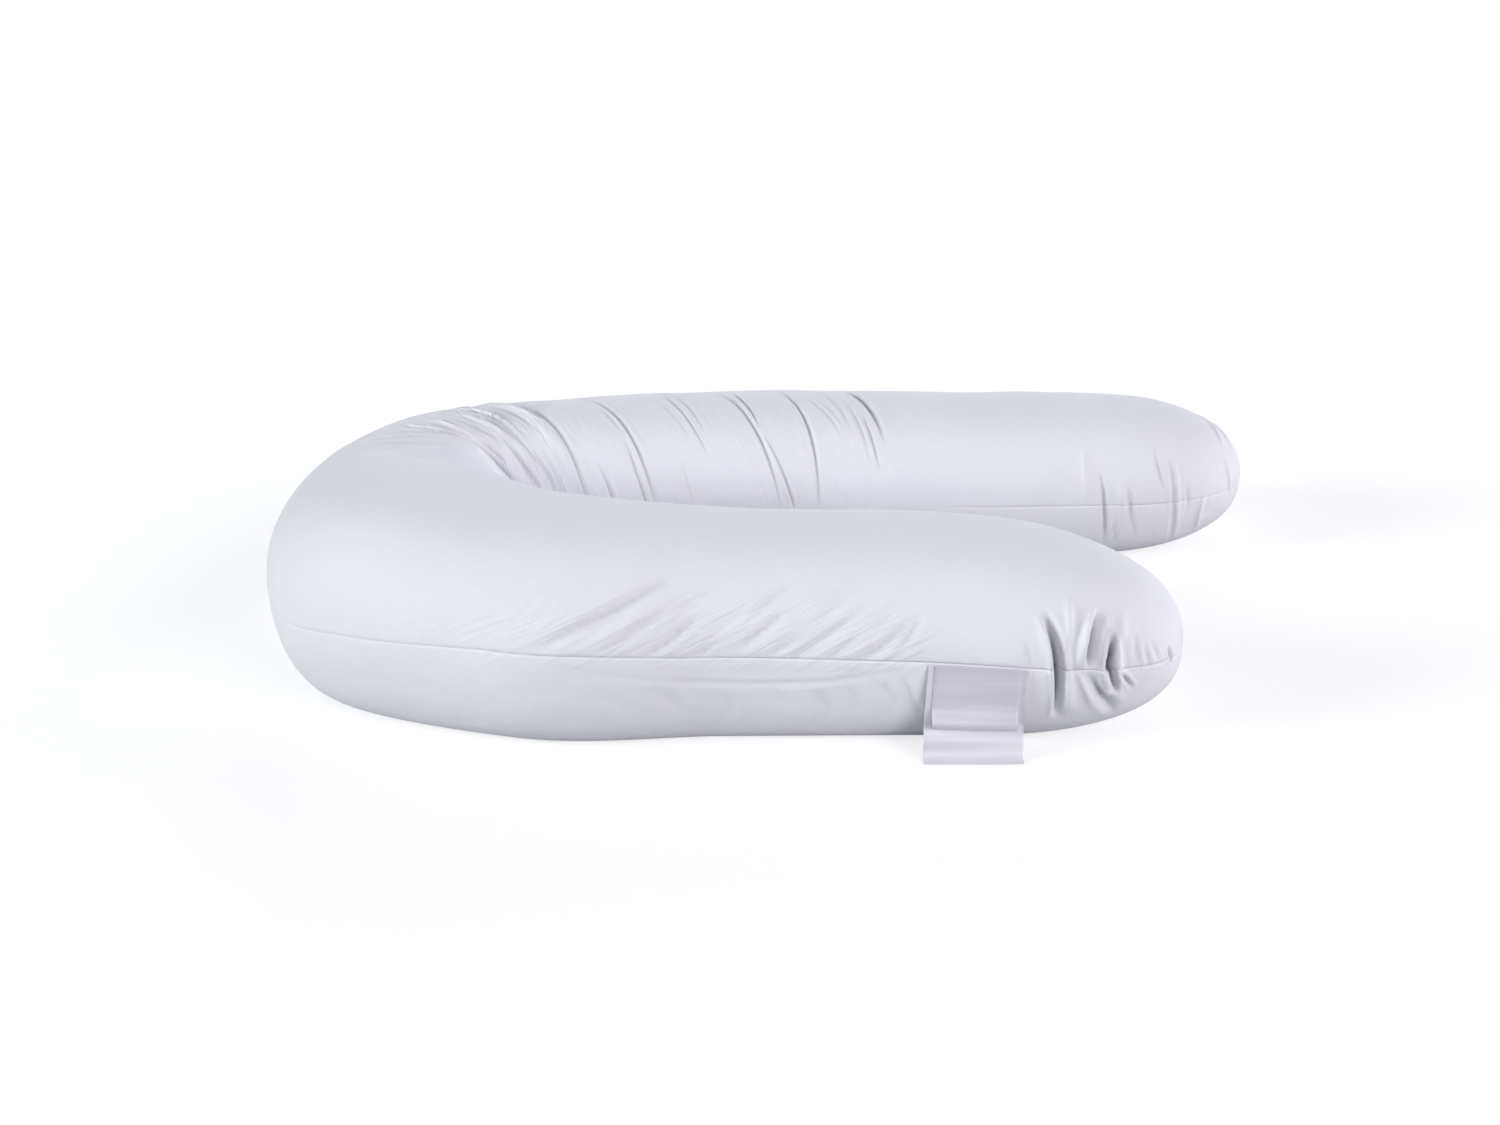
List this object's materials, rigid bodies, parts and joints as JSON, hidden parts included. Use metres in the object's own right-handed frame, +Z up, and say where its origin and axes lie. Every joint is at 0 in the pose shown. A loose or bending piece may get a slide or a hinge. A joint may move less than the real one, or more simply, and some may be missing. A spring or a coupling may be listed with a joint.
{
  "type": "pregnancy pillow",
  "caption": "Full length U-shaped body pillow with a crowned filled body, side seams, puckered ends and bare labels in the seam.",
  "frame": {"origin": "middle of the part's box, on the surface that it lies on", "axes": "+X along the arms towards the open end, +Y across from the shorter near arm to the longer far arm, +Z up"},
  "size_m": [1.3912, 0.8979, 0.2691],
  "materials": {
    "cotton_case": "plain woven cotton, cool white, matt",
    "satin_label": "woven polyester satin, white with a violet sheen, bare",
    "satin_loop": "woven polyester satin, white with a violet sheen, bare"
  },
  "bodies": {
    "root": {"pillow": "cotton_case", "care_label": "satin_label", "loop_label": "satin_loop"}
  },
  "joints": []
}
